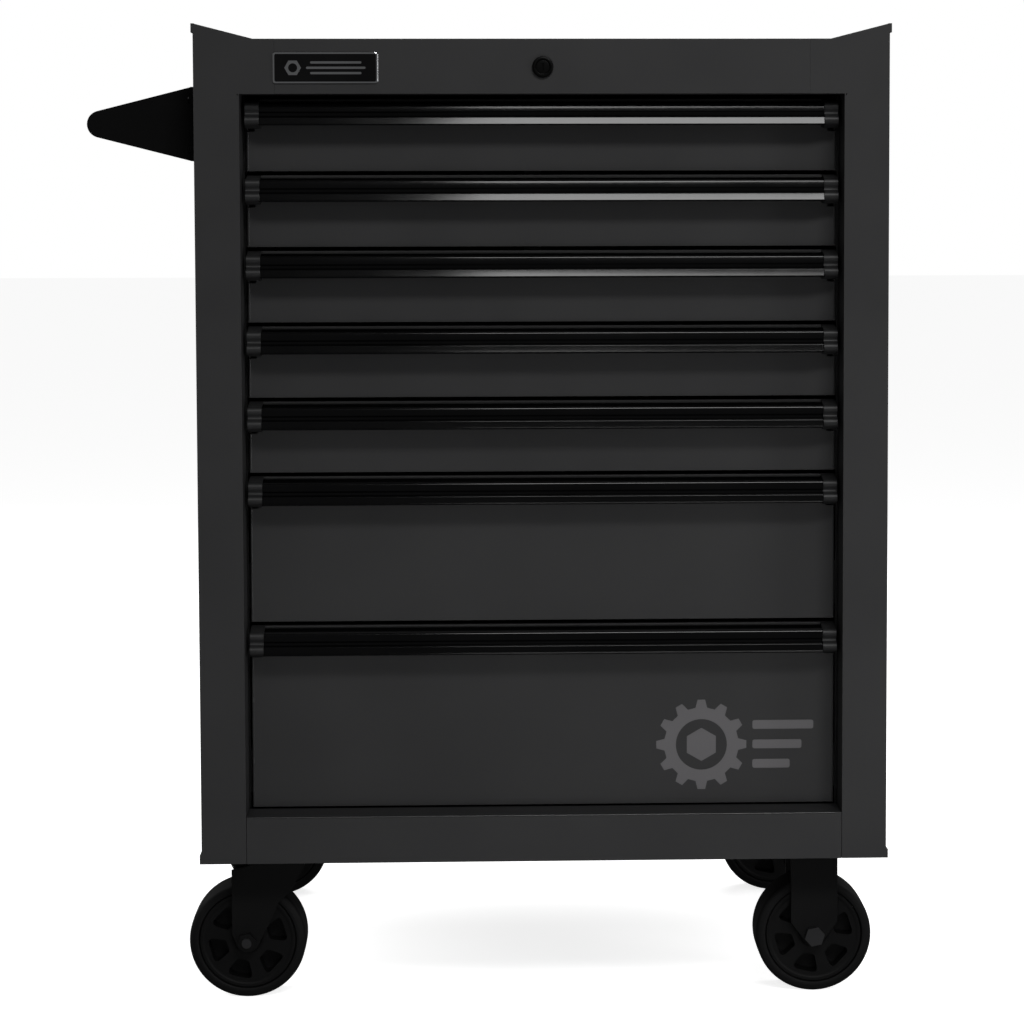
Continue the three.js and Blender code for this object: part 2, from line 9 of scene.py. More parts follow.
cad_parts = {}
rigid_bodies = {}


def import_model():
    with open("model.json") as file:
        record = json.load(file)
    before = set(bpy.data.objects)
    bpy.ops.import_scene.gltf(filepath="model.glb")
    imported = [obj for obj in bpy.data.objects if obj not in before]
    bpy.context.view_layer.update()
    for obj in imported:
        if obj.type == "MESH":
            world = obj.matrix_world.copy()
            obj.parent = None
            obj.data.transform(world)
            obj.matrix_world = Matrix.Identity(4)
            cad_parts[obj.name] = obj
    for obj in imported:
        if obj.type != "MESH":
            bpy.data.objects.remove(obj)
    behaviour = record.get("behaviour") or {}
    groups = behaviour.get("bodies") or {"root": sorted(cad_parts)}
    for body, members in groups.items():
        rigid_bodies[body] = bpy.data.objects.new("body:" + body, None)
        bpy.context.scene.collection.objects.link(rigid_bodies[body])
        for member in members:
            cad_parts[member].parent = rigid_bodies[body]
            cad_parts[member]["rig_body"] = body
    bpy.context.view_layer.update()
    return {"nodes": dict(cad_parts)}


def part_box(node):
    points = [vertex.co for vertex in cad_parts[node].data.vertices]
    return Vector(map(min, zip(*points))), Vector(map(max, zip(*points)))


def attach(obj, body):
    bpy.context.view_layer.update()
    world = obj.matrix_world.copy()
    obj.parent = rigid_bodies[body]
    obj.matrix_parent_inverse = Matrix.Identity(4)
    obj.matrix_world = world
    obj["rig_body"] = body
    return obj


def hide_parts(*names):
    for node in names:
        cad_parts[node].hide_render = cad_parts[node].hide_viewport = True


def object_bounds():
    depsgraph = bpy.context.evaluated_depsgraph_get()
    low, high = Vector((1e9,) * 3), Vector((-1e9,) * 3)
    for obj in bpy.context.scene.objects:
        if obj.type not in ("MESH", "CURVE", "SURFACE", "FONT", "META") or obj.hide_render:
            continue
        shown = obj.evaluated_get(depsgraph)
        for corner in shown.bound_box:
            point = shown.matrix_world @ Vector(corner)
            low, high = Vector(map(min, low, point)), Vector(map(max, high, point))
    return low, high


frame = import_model()

MM = 0.001
DRAWERS = range(1, 8)
ENDS = ("front", "rear")
KINDS = ("swivel", "rigid")

# How far the edges of cabinet and drawer sheets are rounded, and the radius of their rolled folds.
SHEET_EDGE = 0.45 * MM
FOLD_RADIUS = 1.15 * MM


# ---------------------------------------------------------------- materials


def mapped_noise(tree, scale, detail=2.0, stretch=(1.0, 1.0, 1.0)):
    """Noise in the part's own coordinates, in metres, stretched along the axes."""
    coordinates = tree.nodes.new("ShaderNodeTexCoord")
    mapping = tree.nodes.new("ShaderNodeMapping")
    mapping.inputs["Scale"].default_value = stretch
    noise = tree.nodes.new("ShaderNodeTexNoise")
    noise.inputs["Scale"].default_value = scale
    noise.inputs["Detail"].default_value = detail
    tree.links.new(coordinates.outputs["Object"], mapping.inputs["Vector"])
    tree.links.new(mapping.outputs["Vector"], noise.inputs["Vector"])
    return noise.outputs["Fac"]


def remap(tree, value, low, high, start=0.3, end=0.7):
    """A value between start and end becomes one between low and high."""
    node = tree.nodes.new("ShaderNodeMapRange")
    node.inputs["From Min"].default_value = start
    node.inputs["From Max"].default_value = end
    node.inputs["To Min"].default_value = low
    node.inputs["To Max"].default_value = high
    tree.links.new(value, node.inputs["Value"])
    return node.outputs["Result"]


def two_tone(tree, value, dark, light):
    """A colour between two tones: the dark one at 0, the light one at 1."""
    mix = tree.nodes.new("ShaderNodeMix")
    mix.data_type = "RGBA"
    mix.inputs["A"].default_value = (*dark, 1)
    mix.inputs["B"].default_value = (*light, 1)
    tree.links.new(value, mix.inputs["Factor"])
    return mix.outputs["Result"]


def bumped(tree, layers):
    """A normal made of several heights, each given as (value, distance in metres, strength)."""
    normal = None
    for value, distance, strength in layers:
        bump = tree.nodes.new("ShaderNodeBump")
        bump.inputs["Distance"].default_value = distance
        bump.inputs["Strength"].default_value = strength
        tree.links.new(value, bump.inputs["Height"])
        if normal is not None:
            tree.links.new(normal, bump.inputs["Normal"])
        normal = bump.outputs["Normal"]
    return normal


def surface(name, tones, roughness, metallic=0.0, specular=0.5):
    """A Principled material with two base tones and a range of roughness, with its tree and shader."""
    material = bpy.data.materials.new(name)
    material.use_nodes = True
    tree = material.node_tree
    shader = tree.nodes["Principled BSDF"]
    shader.inputs["Metallic"].default_value = metallic
    shader.inputs["Specular IOR Level"].default_value = specular
    cloud = mapped_noise(tree, 9.0, 3.0)
    tree.links.new(two_tone(tree, remap(tree, cloud, 0, 1), *tones), shader.inputs["Base Color"])
    patches = mapped_noise(tree, 23.0, 4.0)
    tree.links.new(remap(tree, patches, *roughness), shader.inputs["Roughness"])
    return material, tree, shader


def powder_coat(name, tones, roughness, peel=1.0, specular=0.42):
    """Powder coat: fine orange peel with smaller grains over a faint long wave."""
    material, tree, shader = surface(name, tones, roughness, specular=specular)
    layers = [
        (mapped_noise(tree, 620.0, 2.0), 0.00012, 0.35 * peel),
        (mapped_noise(tree, 2100.0, 1.0), 0.00004, 0.3 * peel),
        (mapped_noise(tree, 14.0, 1.0), 0.0006, 0.08),
    ]
    tree.links.new(bumped(tree, layers), shader.inputs["Normal"])
    return material


def anodised(name, tones, roughness):
    """Black anodised extrusion, with draw lines along X."""
    material, tree, shader = surface(name, tones, roughness, specular=0.23)
    lines = mapped_noise(tree, 1.0, 2.0, stretch=(0.6, 1800.0, 1800.0))
    tree.links.new(bumped(tree, [(lines, 0.00003, 0.3)]), shader.inputs["Normal"])
    return material


def moulded(name, tones, roughness, grain=900.0, depth=0.00008, strength=0.4, specular=0.4):
    """Moulded plastic or rubber with a fine spark-eroded grain."""
    material, tree, shader = surface(name, tones, roughness, specular=specular)
    layers = [
        (mapped_noise(tree, grain, 2.0), depth, strength),
        (mapped_noise(tree, 60.0, 2.0), 0.0003, 0.06),
    ]
    tree.links.new(bumped(tree, layers), shader.inputs["Normal"])
    return material


def plated(name, tones, roughness, stretch=(400.0, 30.0, 400.0)):
    """Rolled and plated steel, with draw lines along one axis."""
    material, tree, shader = surface(name, tones, roughness, metallic=1.0)
    lines = mapped_noise(tree, 3.0, 3.0, stretch=stretch)
    grains = mapped_noise(tree, 160.0, 2.0)
    layers = [(lines, 0.00003, 0.35), (grains, 0.00005, 0.2)]
    tree.links.new(bumped(tree, layers), shader.inputs["Normal"])
    return material


PAINT = powder_coat(
    "cabinet_powder_coat", ((0.0195, 0.0195, 0.0203), (0.0225, 0.0225, 0.0232)), (0.46, 0.54)
)
FACE = powder_coat(
    "drawer_powder_coat", ((0.0195, 0.0195, 0.0202), (0.0225, 0.0225, 0.0231)), (0.44, 0.52)
)
RACK = powder_coat("rack_coat", ((0.008, 0.008, 0.0083), (0.011, 0.011, 0.0113)), (0.5, 0.6), specular=0.3)
PULL = anodised("pull_black_anodised", ((0.0012, 0.0012, 0.0013), (0.002, 0.002, 0.0022)), (0.09, 0.11))
EDGE = powder_coat(
    "worn_edge_coat", ((0.019, 0.019, 0.0197), (0.022, 0.022, 0.0227)), (0.22, 0.28),
    peel=0.3, specular=0.6,
)
CAP = moulded("pull_cap_plastic", ((0.013, 0.013, 0.0135), (0.016, 0.016, 0.0165)), (0.42, 0.5))
ZINC = plated("zinc_plate", ((0.36, 0.37, 0.39), (0.46, 0.47, 0.49)), (0.26, 0.4))
BOLT = plated(
    "dark_plated_steel", ((0.085, 0.085, 0.088), (0.15, 0.15, 0.155)), (0.36, 0.5),
    stretch=(300.0, 300.0, 300.0),
)
CHROME = plated(
    "badge_chrome", ((0.66, 0.67, 0.69), (0.74, 0.75, 0.77)), (0.08, 0.16), stretch=(60.0, 60.0, 60.0)
)
ENAMEL = moulded(
    "badge_enamel", ((0.002, 0.002, 0.0022), (0.004, 0.004, 0.0043)), (0.16, 0.24),
    grain=300.0, depth=0.00002, strength=0.2, specular=0.25,
)
LOCK = moulded(
    "lock_black", ((0.0008, 0.0008, 0.0008), (0.0015, 0.0015, 0.0015)), (0.3, 0.4),
    grain=500.0, depth=0.00003, strength=0.25, specular=0.12,
)
HANDLE = moulded(
    "handle_texture", ((0.0008, 0.0008, 0.0009), (0.0014, 0.0014, 0.0015)), (0.6, 0.72),
    grain=520.0, depth=0.0002, strength=0.5, specular=0.12,
)
TUBE = powder_coat(
    "handle_tube_coat", ((0.003, 0.003, 0.0031), (0.0045, 0.0045, 0.0046)), (0.38, 0.46),
    peel=0.6, specular=0.3,
)
CASTER = powder_coat(
    "caster_e_coat", ((0.0022, 0.0022, 0.0023), (0.0036, 0.0036, 0.0037)), (0.46, 0.58),
    peel=0.7, specular=0.2,
)
CORE = moulded(
    "wheel_core_plastic", ((0.0020, 0.0020, 0.0021), (0.0032, 0.0032, 0.0033)), (0.44, 0.54), specular=0.2
)
# Painted shade: a near-black tone for the swivel plates, darker than the casters' own coat. It stands in
# for the shadow between the cabinet's bottom and the forks, not for oil or a different finish.
PLATE_SHADE = moulded(
    "swivel_plate_painted_shade", ((0.0006, 0.0006, 0.0006), (0.0011, 0.0011, 0.0011)), (0.5, 0.6), specular=0.1
)
TYRE = moulded(
    "tyre_rubber", ((0.0024, 0.0024, 0.0025), (0.0046, 0.0046, 0.0048)), (0.62, 0.76),
    grain=420.0, depth=0.0002, strength=0.5, specular=0.2,
)
LINER = moulded(
    "liner_rubber", ((0.008, 0.008, 0.0082), (0.012, 0.012, 0.0122)), (0.7, 0.82),
    grain=380.0, depth=0.0002, strength=0.4,
)
VINYL = moulded(
    "emblem_vinyl", ((0.086, 0.083, 0.087), (0.095, 0.092, 0.096)), (0.5, 0.6),
    grain=800.0, depth=0.00002, strength=0.2,
)


# ---------------------------------------------------------------- mesh helpers


def piece(name, mesh, body, material, slot, *replaced):
    """Links a mesh as a piece of the object that rides on a body and may stand for CAD nodes."""
    made = bpy.data.objects.new(name, mesh)
    bpy.context.scene.collection.objects.link(made)
    mesh.materials.append(material)
    flat = made.modifiers.new("flat_faces", "WEIGHTED_NORMAL")
    flat.keep_sharp = True
    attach(made, body)
    if replaced:
        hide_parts(*replaced)


def shaded(bm, name, angle=32.0):
    """The bmesh as a mesh with smooth faces and sharp edges where it turns by more than an angle."""
    bmesh.ops.recalc_face_normals(bm, faces=bm.faces)
    limit = math.radians(angle)
    for face in bm.faces:
        face.smooth = True
    for edge in bm.edges:
        edge.smooth = len(edge.link_faces) == 2 and edge.calc_face_angle(math.pi) < limit
    mesh = bpy.data.meshes.new(name)
    bm.to_mesh(mesh)
    bm.free()
    return mesh


def soften(bm, width, segments=2, angle=30.0):
    """Rounds every edge that turns by more than an angle."""
    limit = math.radians(angle)
    edges = [e for e in bm.edges if len(e.link_faces) == 2 and e.calc_face_angle(0) > limit]
    bmesh.ops.bevel(
        bm, geom=edges, offset=width, offset_type="OFFSET", segments=segments,
        profile=0.5, affect="EDGES", clamp_overlap=True,
    )


def refined(node, width, material, slot, segments=2):
    """A CAD node's shape with its edges rounded, as a piece that stands for it."""
    source = frame["nodes"][node]
    bm = bmesh.new()
    bm.from_mesh(source.data)
    bmesh.ops.remove_doubles(bm, verts=bm.verts, dist=1e-6)
    bmesh.ops.dissolve_limit(bm, angle_limit=math.radians(0.5), verts=bm.verts, edges=bm.edges)
    soften(bm, width, segments)
    piece(f"{node}_shell", shaded(bm, node), source["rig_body"], material, slot, node)


def plain(node, material):
    """Keeps a CAD node's own mesh, with a better material."""
    mesh = frame["nodes"][node].data
    mesh.materials.clear()
    mesh.materials.append(material)


def loft(sections):
    """A closed bmesh through loops of points, one after the other, with a face over the first and last."""
    bm = bmesh.new()
    rings = [[bm.verts.new(point) for point in loop] for loop in sections]
    for first, second in zip(rings, rings[1:]):
        count = len(first)
        for i in range(count):
            j = (i + 1) % count
            bm.faces.new((first[i], first[j], second[j], second[i]))
    bm.faces.new(rings[0])
    bm.faces.new(rings[-1])
    return bm


def turned_y(profile, centre, steps):
    """A bmesh turned about an axis along Y: profile is a closed loop of (radius, y) about the centre."""
    bm = bmesh.new()
    rings = []
    for step in range(steps):
        angle = 2 * math.pi * step / steps
        c, s = math.cos(angle), math.sin(angle)
        ring = [(centre[0] + r * c, centre[1] + y, centre[2] + r * s) for r, y in profile]
        rings.append([bm.verts.new(point) for point in ring])
    count = len(profile)
    for step in range(steps):
        first, second = rings[step], rings[(step + 1) % steps]
        for i in range(count):
            j = (i + 1) % count
            bm.faces.new((first[i], first[j], second[j], second[i]))
    return bm


def disc_y(profile, centre, steps):
    """A bmesh turned about Y from a profile that starts and ends on the axis."""
    bm = turned_y(profile, centre, steps)
    bmesh.ops.remove_doubles(bm, verts=bm.verts, dist=1e-7)
    return bm


def rod_y(radius, length, start, steps=40):
    """A bmesh of a rod along Y, from the centre of its nearer end."""
    return disc_y([(0, 0), (radius, 0), (radius, length), (0, length)], start, steps)


def arc(x, y, radius, start, end, steps):
    """Points on an arc, in degrees."""
    angles = [math.radians(start + (end - start) * i / steps) for i in range(steps + 1)]
    return [(x + radius * math.cos(a), y + radius * math.sin(a)) for a in angles]


def slab_y(outline, y0, y1):
    """A bmesh of an (x, z) outline carried along Y."""
    return loft([[(x, y0, z) for x, z in outline], [(x, y1, z) for x, z in outline]])


def rounded(x, z, width, height, corner, steps=6):
    """Outline of a rounded rectangle."""
    a, b = width / 2 - corner, height / 2 - corner
    return [
        *arc(x + a, z + b, corner, 0, 90, steps),
        *arc(x - a, z + b, corner, 90, 180, steps),
        *arc(x - a, z - b, corner, 180, 270, steps),
        *arc(x + a, z - b, corner, 270, 360, steps),
    ]


def hexagon(x, z, radius, turn=0.0):
    """Corners of a hexagon, turned by some degrees."""
    angles = [math.radians(60 * i + turn) for i in range(6)]
    return [(x + radius * math.cos(a), z + radius * math.sin(a)) for a in angles]


def merged(target, addition):
    """Adds the second bmesh to the first and frees it."""
    mesh = bpy.data.meshes.new("part")
    addition.to_mesh(mesh)
    addition.free()
    target.from_mesh(mesh)
    bpy.data.meshes.remove(mesh)


def cut_with(base, cutter):
    """The base bmesh less the cutter bmesh, as a new bmesh."""
    objects = []
    for bm in (base, cutter):
        mesh = bpy.data.meshes.new("cut")
        bmesh.ops.recalc_face_normals(bm, faces=bm.faces)
        bm.to_mesh(mesh)
        bm.free()
        made = bpy.data.objects.new("cut", mesh)
        bpy.context.scene.collection.objects.link(made)
        objects.append(made)
    modifier = objects[0].modifiers.new("cut", "BOOLEAN")
    modifier.operation = "DIFFERENCE"
    modifier.solver = "EXACT"
    modifier.object = objects[1]
    graph = bpy.context.evaluated_depsgraph_get()
    result = bmesh.new()
    result.from_object(objects[0], graph)
    for made in objects:
        bpy.data.objects.remove(made)
    bmesh.ops.remove_doubles(result, verts=result.verts, dist=1e-7)
    bmesh.ops.dissolve_limit(result, angle_limit=math.radians(0.2), verts=result.verts, edges=result.edges)
    return result


# ---------------------------------------------------------------- cabinet


def make_rail_seams():
    """Thin strips in the gaps between the top rail and the posts, a little behind the face."""
    low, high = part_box("top_front_rail")
    half_width = 0.35 * MM
    seams = bmesh.new()
    for x in (low.x - 0.2 * MM, high.x + 0.2 * MM):
        x0, x1 = x - half_width, x + half_width
        outline = [(x0, low.z), (x1, low.z), (x1, high.z), (x0, high.z)]
        merged(seams, slab_y(outline, low.y + 0.25 * MM, low.y + 0.95 * MM))
    piece("rail_seams", shaded(seams, "seams"), "root", PAINT, "cabinet_paint")


def make_rail_fold():
    """The rounded fold along the lower rail's top edge, as long as the drawers are wide."""
    low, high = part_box("bottom_tray")
    opening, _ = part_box("drawer_1_box")
    gap = 3 * MM
    x0, x1 = opening.x + gap, high.x - (opening.x - low.x) - gap
    fold = arc(low.y + 1.0 * MM, high.z - 1.0 * MM, FOLD_RADIUS, 0, 345, 23)
    edge = loft([[(x, y, z) for y, z in fold] for x in (x0, x1)])
    piece("bottom_rail_fold", shaded(edge, "fold", 40), "root", EDGE, "cabinet_paint")


def make_cabinet():
    sheets = (
        "left_side_panel", "right_side_panel", "top_front_rail", "bottom_tray", "top_panel", "back_panel",
    )
    for node in sheets:
        refined(node, SHEET_EDGE, PAINT, "cabinet_paint")
    for node in ("left_slide_rack", "right_slide_rack"):
        plain(node, RACK)
    make_rail_seams()
    make_rail_fold()
    plain("lock_bar", ZINC)


make_cabinet()


# ---------------------------------------------------------------- badge and lock


def make_badge():
    """Bright rim round a dark field, with a generic mark on it: a nut beside three bars."""
    low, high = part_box("badge_plate")
    x, z = (low.x + high.x) / 2, (low.z + high.z) / 2
    width, height = high.x - low.x, high.z - low.z
    rim_width = 1.7 * MM
    outer = rounded(x, z, width, height, 2.5 * MM)
    inner = rounded(x, z, width - 2 * rim_width, height - 2 * rim_width, 1.6 * MM)
    front = low.y
    field_front = front + 0.7 * MM
    loops = [
        [(px, high.y, pz) for px, pz in outer],
        [(px, front + 0.5 * MM, pz) for px, pz in outer],
        [(px * 0.985 + x * 0.015, front, pz * 0.985 + z * 0.015) for px, pz in outer],
        [(px, front, pz) for px, pz in inner],
        [(px, field_front, pz) for px, pz in inner],
        [(px, high.y, pz) for px, pz in inner],
    ]
    bm = bmesh.new()
    rings = [[bm.verts.new(p) for p in loop] for loop in loops]
    for first, second in zip(rings, [*rings[1:], rings[0]]):
        for i in range(len(first)):
            j = (i + 1) % len(first)
            bm.faces.new((first[i], first[j], second[j], second[i]))
    piece("badge_rim", shaded(bm, "badge_rim", 50), "root", CHROME, "badge_rim")
    field = slab_y(inner, field_front, high.y - 0.05 * MM)
    soften(field, 0.1 * MM, 1)
    piece("badge_field", shaded(field, "badge_field"), "root", ENAMEL, "badge", "badge_plate")
    mark_front, mark_back = front + 0.25 * MM, front + 0.75 * MM
    nut_x = x - 0.31 * width
    nut = slab_y(hexagon(nut_x, z, 8.2 * MM), mark_front, mark_back)
    bore = slab_y(arc(nut_x, z, 4.4 * MM, 0, 345, 23), front - MM, front + 2 * MM)
    mark = cut_with(nut, bore)
    for level, length in ((5.2, 50), (0.0, 58), (-5.2, 50)):
        bar = rounded(x + 0.1 * width, z + level * MM, length * MM, 2.0 * MM, 0.95 * MM, 4)
        merged(mark, slab_y(bar, mark_front, mark_back))
    soften(mark, 0.12 * MM, 1)
    piece("badge_mark", shaded(mark, "badge_mark"), "root", CHROME, "badge_rim")


def make_lock():
    """Lock with a ringed head, a key slot, its barrel and its cam, on the plug's own axis."""
    low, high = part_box("lock_plug")
    r = 10.5 * MM
    x, front, z = low.x + r, low.y, low.z + r
    barrel_start, barrel_end = 3.6 * MM, 30 * MM
    head = [
        (0, 3.7 * MM), (r, 3.7 * MM), (r, 1.2 * MM), (r - 0.3 * MM, 0.5 * MM), (r - 1.0 * MM, 0.1 * MM),
        (r - 1.8 * MM, 0), (r - 2.9 * MM, 0.05 * MM), (r - 3.2 * MM, 0.5 * MM), (r - 3.3 * MM, 1.3 * MM),
        (r - 3.8 * MM, 1.4 * MM), (r - 4.0 * MM, 0.9 * MM), (r - 4.4 * MM, 0.7 * MM), (0, 0.6 * MM),
    ]
    slot = slab_y(rounded(x, z, 1.9 * MM, 8 * MM, 0.9 * MM, 4), front - MM, front + 2.6 * MM)
    body = cut_with(disc_y(head, (x, front, z), 72), slot)
    merged(body, rod_y(8.4 * MM, barrel_end - barrel_start, (x, front + barrel_start, z), 64))
    cam = rounded(x + 4.5 * MM, z, 17 * MM, 8 * MM, 2 * MM)
    merged(body, slab_y(cam, front + barrel_end, high.y))
    piece("lock_cylinder", shaded(body, "lock", 35), "lock_plug", LOCK, "lock_black", "lock_plug")


make_badge()
make_lock()


# ---------------------------------------------------------------- side handle


def make_handle():
    """Two brackets and a hollow tube between them."""
    for end in ENDS:
        refined(f"handle_bracket_{end}", 2.0 * MM, HANDLE, "handle_cast", 3)
    low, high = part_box("handle_tube")
    x, z = (low.x + high.x) / 2, (low.z + high.z) / 2
    r = (high.x - low.x) / 2
    length = high.y - low.y
    wall = 1.5 * MM
    tube = turned_y([(r, 0), (r, length), (r - wall, length), (r - wall, 0)], (x, low.y, z), 64)
    piece("handle_bar", shaded(tube, "bar"), "root", TUBE, "handle_tube", "handle_tube")


make_handle()


# ---------------------------------------------------------------- casters


def pocket_outline(centre, middle):
    """Window with rounded corners between two spokes, about an angle in degrees, as (x, z) points."""
    corners = [(22.3, -16), (41.6, -20), (41.6, 20), (22.3, 16)]
    points = []
    for radius, angle in corners:
        a = math.radians(middle + angle)
        points.append(Vector((radius * math.cos(a), radius * math.sin(a))) * MM)
    outline = []
    fillets = (3.2 * MM, 5.0 * MM, 5.0 * MM, 3.2 * MM)
    for i, corner in enumerate(points):
        before = (points[i - 1] - corner).normalized()
        after = (points[(i + 1) % 4] - corner).normalized()
        reach = fillets[i] / math.tan(before.angle(after) / 2)
        start, end = corner + before * reach, corner + after * reach
        for step in range(6):
            t = step / 5
            outline.append(start * (1 - t) ** 2 + corner * 2 * t * (1 - t) + end * t**2)
    return [(centre[0] + p.x, centre[2] + p.y) for p in outline]


def wheel_core(centre, half_width, hub_half, bore):
    """Moulded core: hub, web with six blind windows on each side, and rim."""
    w = half_width
    profile = [
        (bore, -hub_half), (11.0 * MM, -hub_half), (12.6 * MM, -hub_half + 0.8 * MM),
        (13.0 * MM, -w + 3.0 * MM), (17.0 * MM, -w + 1.6 * MM), (43.0 * MM, -w + 1.2 * MM),
        (45.0 * MM, -w + 0.6 * MM), (46.4 * MM, -w), (48.2 * MM, -w),
        (49.0 * MM, -w + 0.8 * MM), (49.0 * MM, -w + 6 * MM),
    ]
    mirrored = [(r, -y) for r, y in reversed(profile)]
    core = turned_y([*profile, *mirrored], centre, 96)
    half_web, first_window = 4 * MM, 17
    cutters = bmesh.new()
    for i in range(6):
        for side in (-1, 1):
            ends = sorted((centre[1] + side * half_web, centre[1] + side * (w + 2 * MM)))
            merged(cutters, slab_y(pocket_outline(centre, first_window + 60 * i), *ends))
    core = cut_with(core, cutters)
    soften(core, 0.5 * MM, 2, 40)
    return core


def wheel_tyre(centre, radius, half_width):
    """Tyre with round shoulders and a slightly crowned tread."""
    w = half_width
    inner = 49.4 * MM
    shoulder = 5.5 * MM
    profile = [
        (inner, -w + 1.6 * MM), (inner + 0.5 * MM, -w + 0.5 * MM), (inner + 1.4 * MM, -w),
        (radius - shoulder - 0.8 * MM, -w), (radius - shoulder - 0.4 * MM, -w + 0.25 * MM),
    ]
    for degrees in (15, 30, 45, 60, 75):
        a = math.radians(degrees)
        out = radius - shoulder + shoulder * math.sin(a)
        profile.append((out, -w + shoulder + 0.4 * MM - shoulder * math.cos(a)))
    profile.append((radius - 0.15 * MM, -w + 9 * MM))
    mirrored = [(r, -y) for r, y in reversed(profile)]
    return turned_y([*profile, (radius, 0), *mirrored], centre, 128)


def make_axle(kind, end, body):
    """Axle bolt, and as one black piece its nut and the washers under head and nut."""
    node = f"{kind}_axle_{end}"
    low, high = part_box(node)
    x, z = (low.x + high.x) / 2, (low.z + high.z) / 2
    head_y, tip_y, inward = (low.y, high.y, 1) if kind == "rigid" else (high.y, low.y, -1)
    bolt_radius, tip_radius, tip_length = 5.0 * MM, 4.6 * MM, 3 * MM
    head_radius, head_height = 10.4 * MM, 6.0 * MM
    nut_radius, nut_height, nut_inset = 9.8 * MM, 6.5 * MM, 3.5 * MM
    washer_radius, washer_height = 9.6 * MM, 1.0 * MM
    turn = 12.0
    bolt = rod_y(bolt_radius, high.y - low.y - 2 * MM, (x, low.y + MM, z))
    under_head = head_y + inward * head_height
    head = slab_y(hexagon(x, z, head_radius, turn), *sorted((head_y, under_head)))
    soften(head, 0.7 * MM, 2)
    merged(bolt, head)
    merged(bolt, rod_y(tip_radius, tip_length, (x, min(tip_y, tip_y - inward * tip_length), z)))
    piece(f"{node}_bolt", shaded(bolt, node), body, BOLT, "bolt_steel", node)
    nut_y = tip_y - inward * nut_inset
    under_nut = nut_y - inward * nut_height
    nut = slab_y(hexagon(x, z, nut_radius, turn), *sorted((nut_y, under_nut)))
    soften(nut, 0.7 * MM, 2)
    for y, direction in ((under_head, inward), (under_nut, -inward)):
        start = (x, min(y, y + direction * washer_height), z)
        merged(nut, rod_y(washer_radius, washer_height, start))
    piece(f"{node}_nut", shaded(nut, node), body, CASTER, "bolt_steel")


def make_caster(kind, end):
    """One caster's wheel, fork and axle."""
    body = f"swivel_{end}" if kind == "swivel" else "root"
    wheel = f"{kind}_wheel_{end}"
    rim, tyre, fork = (f"{kind}_{part}_{end}" for part in ("rim", "tyre", "fork"))
    low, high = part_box(tyre)
    centre = (low + high) / 2
    radius, half_width = (high.z - low.z) / 2, (high.y - low.y) / 2
    rim_low, rim_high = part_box(rim)
    core_inset, axle_bore = 1.2 * MM, 5.4 * MM
    core = wheel_core(centre, half_width - core_inset, (rim_high.y - rim_low.y) / 2, axle_bore)
    piece(f"{kind}_core_{end}", shaded(core, "core", 35), wheel, CORE, "wheel_core", rim)
    rubber = wheel_tyre(centre, radius, half_width)
    piece(f"{kind}_tread_{end}", shaded(rubber, "tread", 35), wheel, TYRE, "tyre", tyre)
    refined(fork, 0.6 * MM, CASTER, "caster_steel")
    make_axle(kind, end, body)


def make_casters():
    for end in ENDS:
        # The swivel plates get the near-black painted shade.
        plain(f"swivel_plate_{end}", PLATE_SHADE)
        for kind in KINDS:
            make_caster(kind, end)


make_casters()


# ---------------------------------------------------------------- drawers


def curved(start, control, end, steps=8):
    """Points on a quadratic curve, without its two ends."""
    points = []
    for i in range(1, steps):
        t = i / steps
        a, b, c = (1 - t) ** 2, 2 * t * (1 - t), t**2
        points.append(tuple(a * p + b * q + c * r for p, q, r in zip(start, control, end)))
    return points


def pull_section():
    """Section of the pull in mm, as (distance in front of the drawer's face, height from its top): a hollow
    hook, open below, with two ribs along its front, each a flat band that leans back."""
    upper_rib = [
        (20.4, -4.9), (21.2, -5.05), (21.8, -5.35), (22.15, -5.85), (22.5, -6.75),
        (23.79, -12.1), (23.6, -12.7), (23.2, -13.3), (22.3, -13.6),
    ]
    groove = [(21.7, -14.2), (21.4, -15.4), (21.6, -16.8)]
    lower_rib = [(22.8, -17.6), (24.0, -17.8), (24.8, -18.3), (25.1, -19.0), (26.58, -24.9)]
    lip = [(26.9, -25.2), (30.3, -25.2), (30.6, -25.5), (30.6, -26.1), (30.3, -26.4)]
    wall = 2.2
    return [
        (0.4, -1.5),
        (19.0, -4.7),
        *upper_rib,
        *groove,
        *lower_rib,
        *lip,
        (23.8, -26.4),
        (22.4, -24.4),
        (19.8, -20.5),
        (19.2, -14.0),
        (18.8, -9.0),
        (17.6, -4.8 - wall),
        (0.4 + wall, -1.9 - wall),
        (0.4 + wall, -14.0),
        (0.4, -14.0),
    ]


def cap_section():
    """Section of the plastic piece at each end of a pull, a little larger than the pull all round."""
    upper_rib = arc(20.7, -8.4, 4.9, 84, -50, 12)
    lower_rib = arc(23.6, -21.6, 5.1, 58, -78, 12)
    dip = curved(upper_rib[-1], (21.4, -15.4), lower_rib[0])
    return [
        (0.3, 0.0), (19.6, -3.4), *upper_rib, *dip, *lower_rib, (19.0, -28.0), (16.0, -29.0), (0.3, -29.0),
    ]


def placed(section, face_y, top_z):
    """A section in mm as (y, z) points about a drawer's face and top."""
    return [(face_y - out * MM, top_z + up * MM) for out, up in section]


def slab_x(outline, x0, x1):
    """A bmesh of a (y, z) outline carried along X."""
    return loft([[(x0, y, z) for y, z in outline], [(x1, y, z) for y, z in outline]])


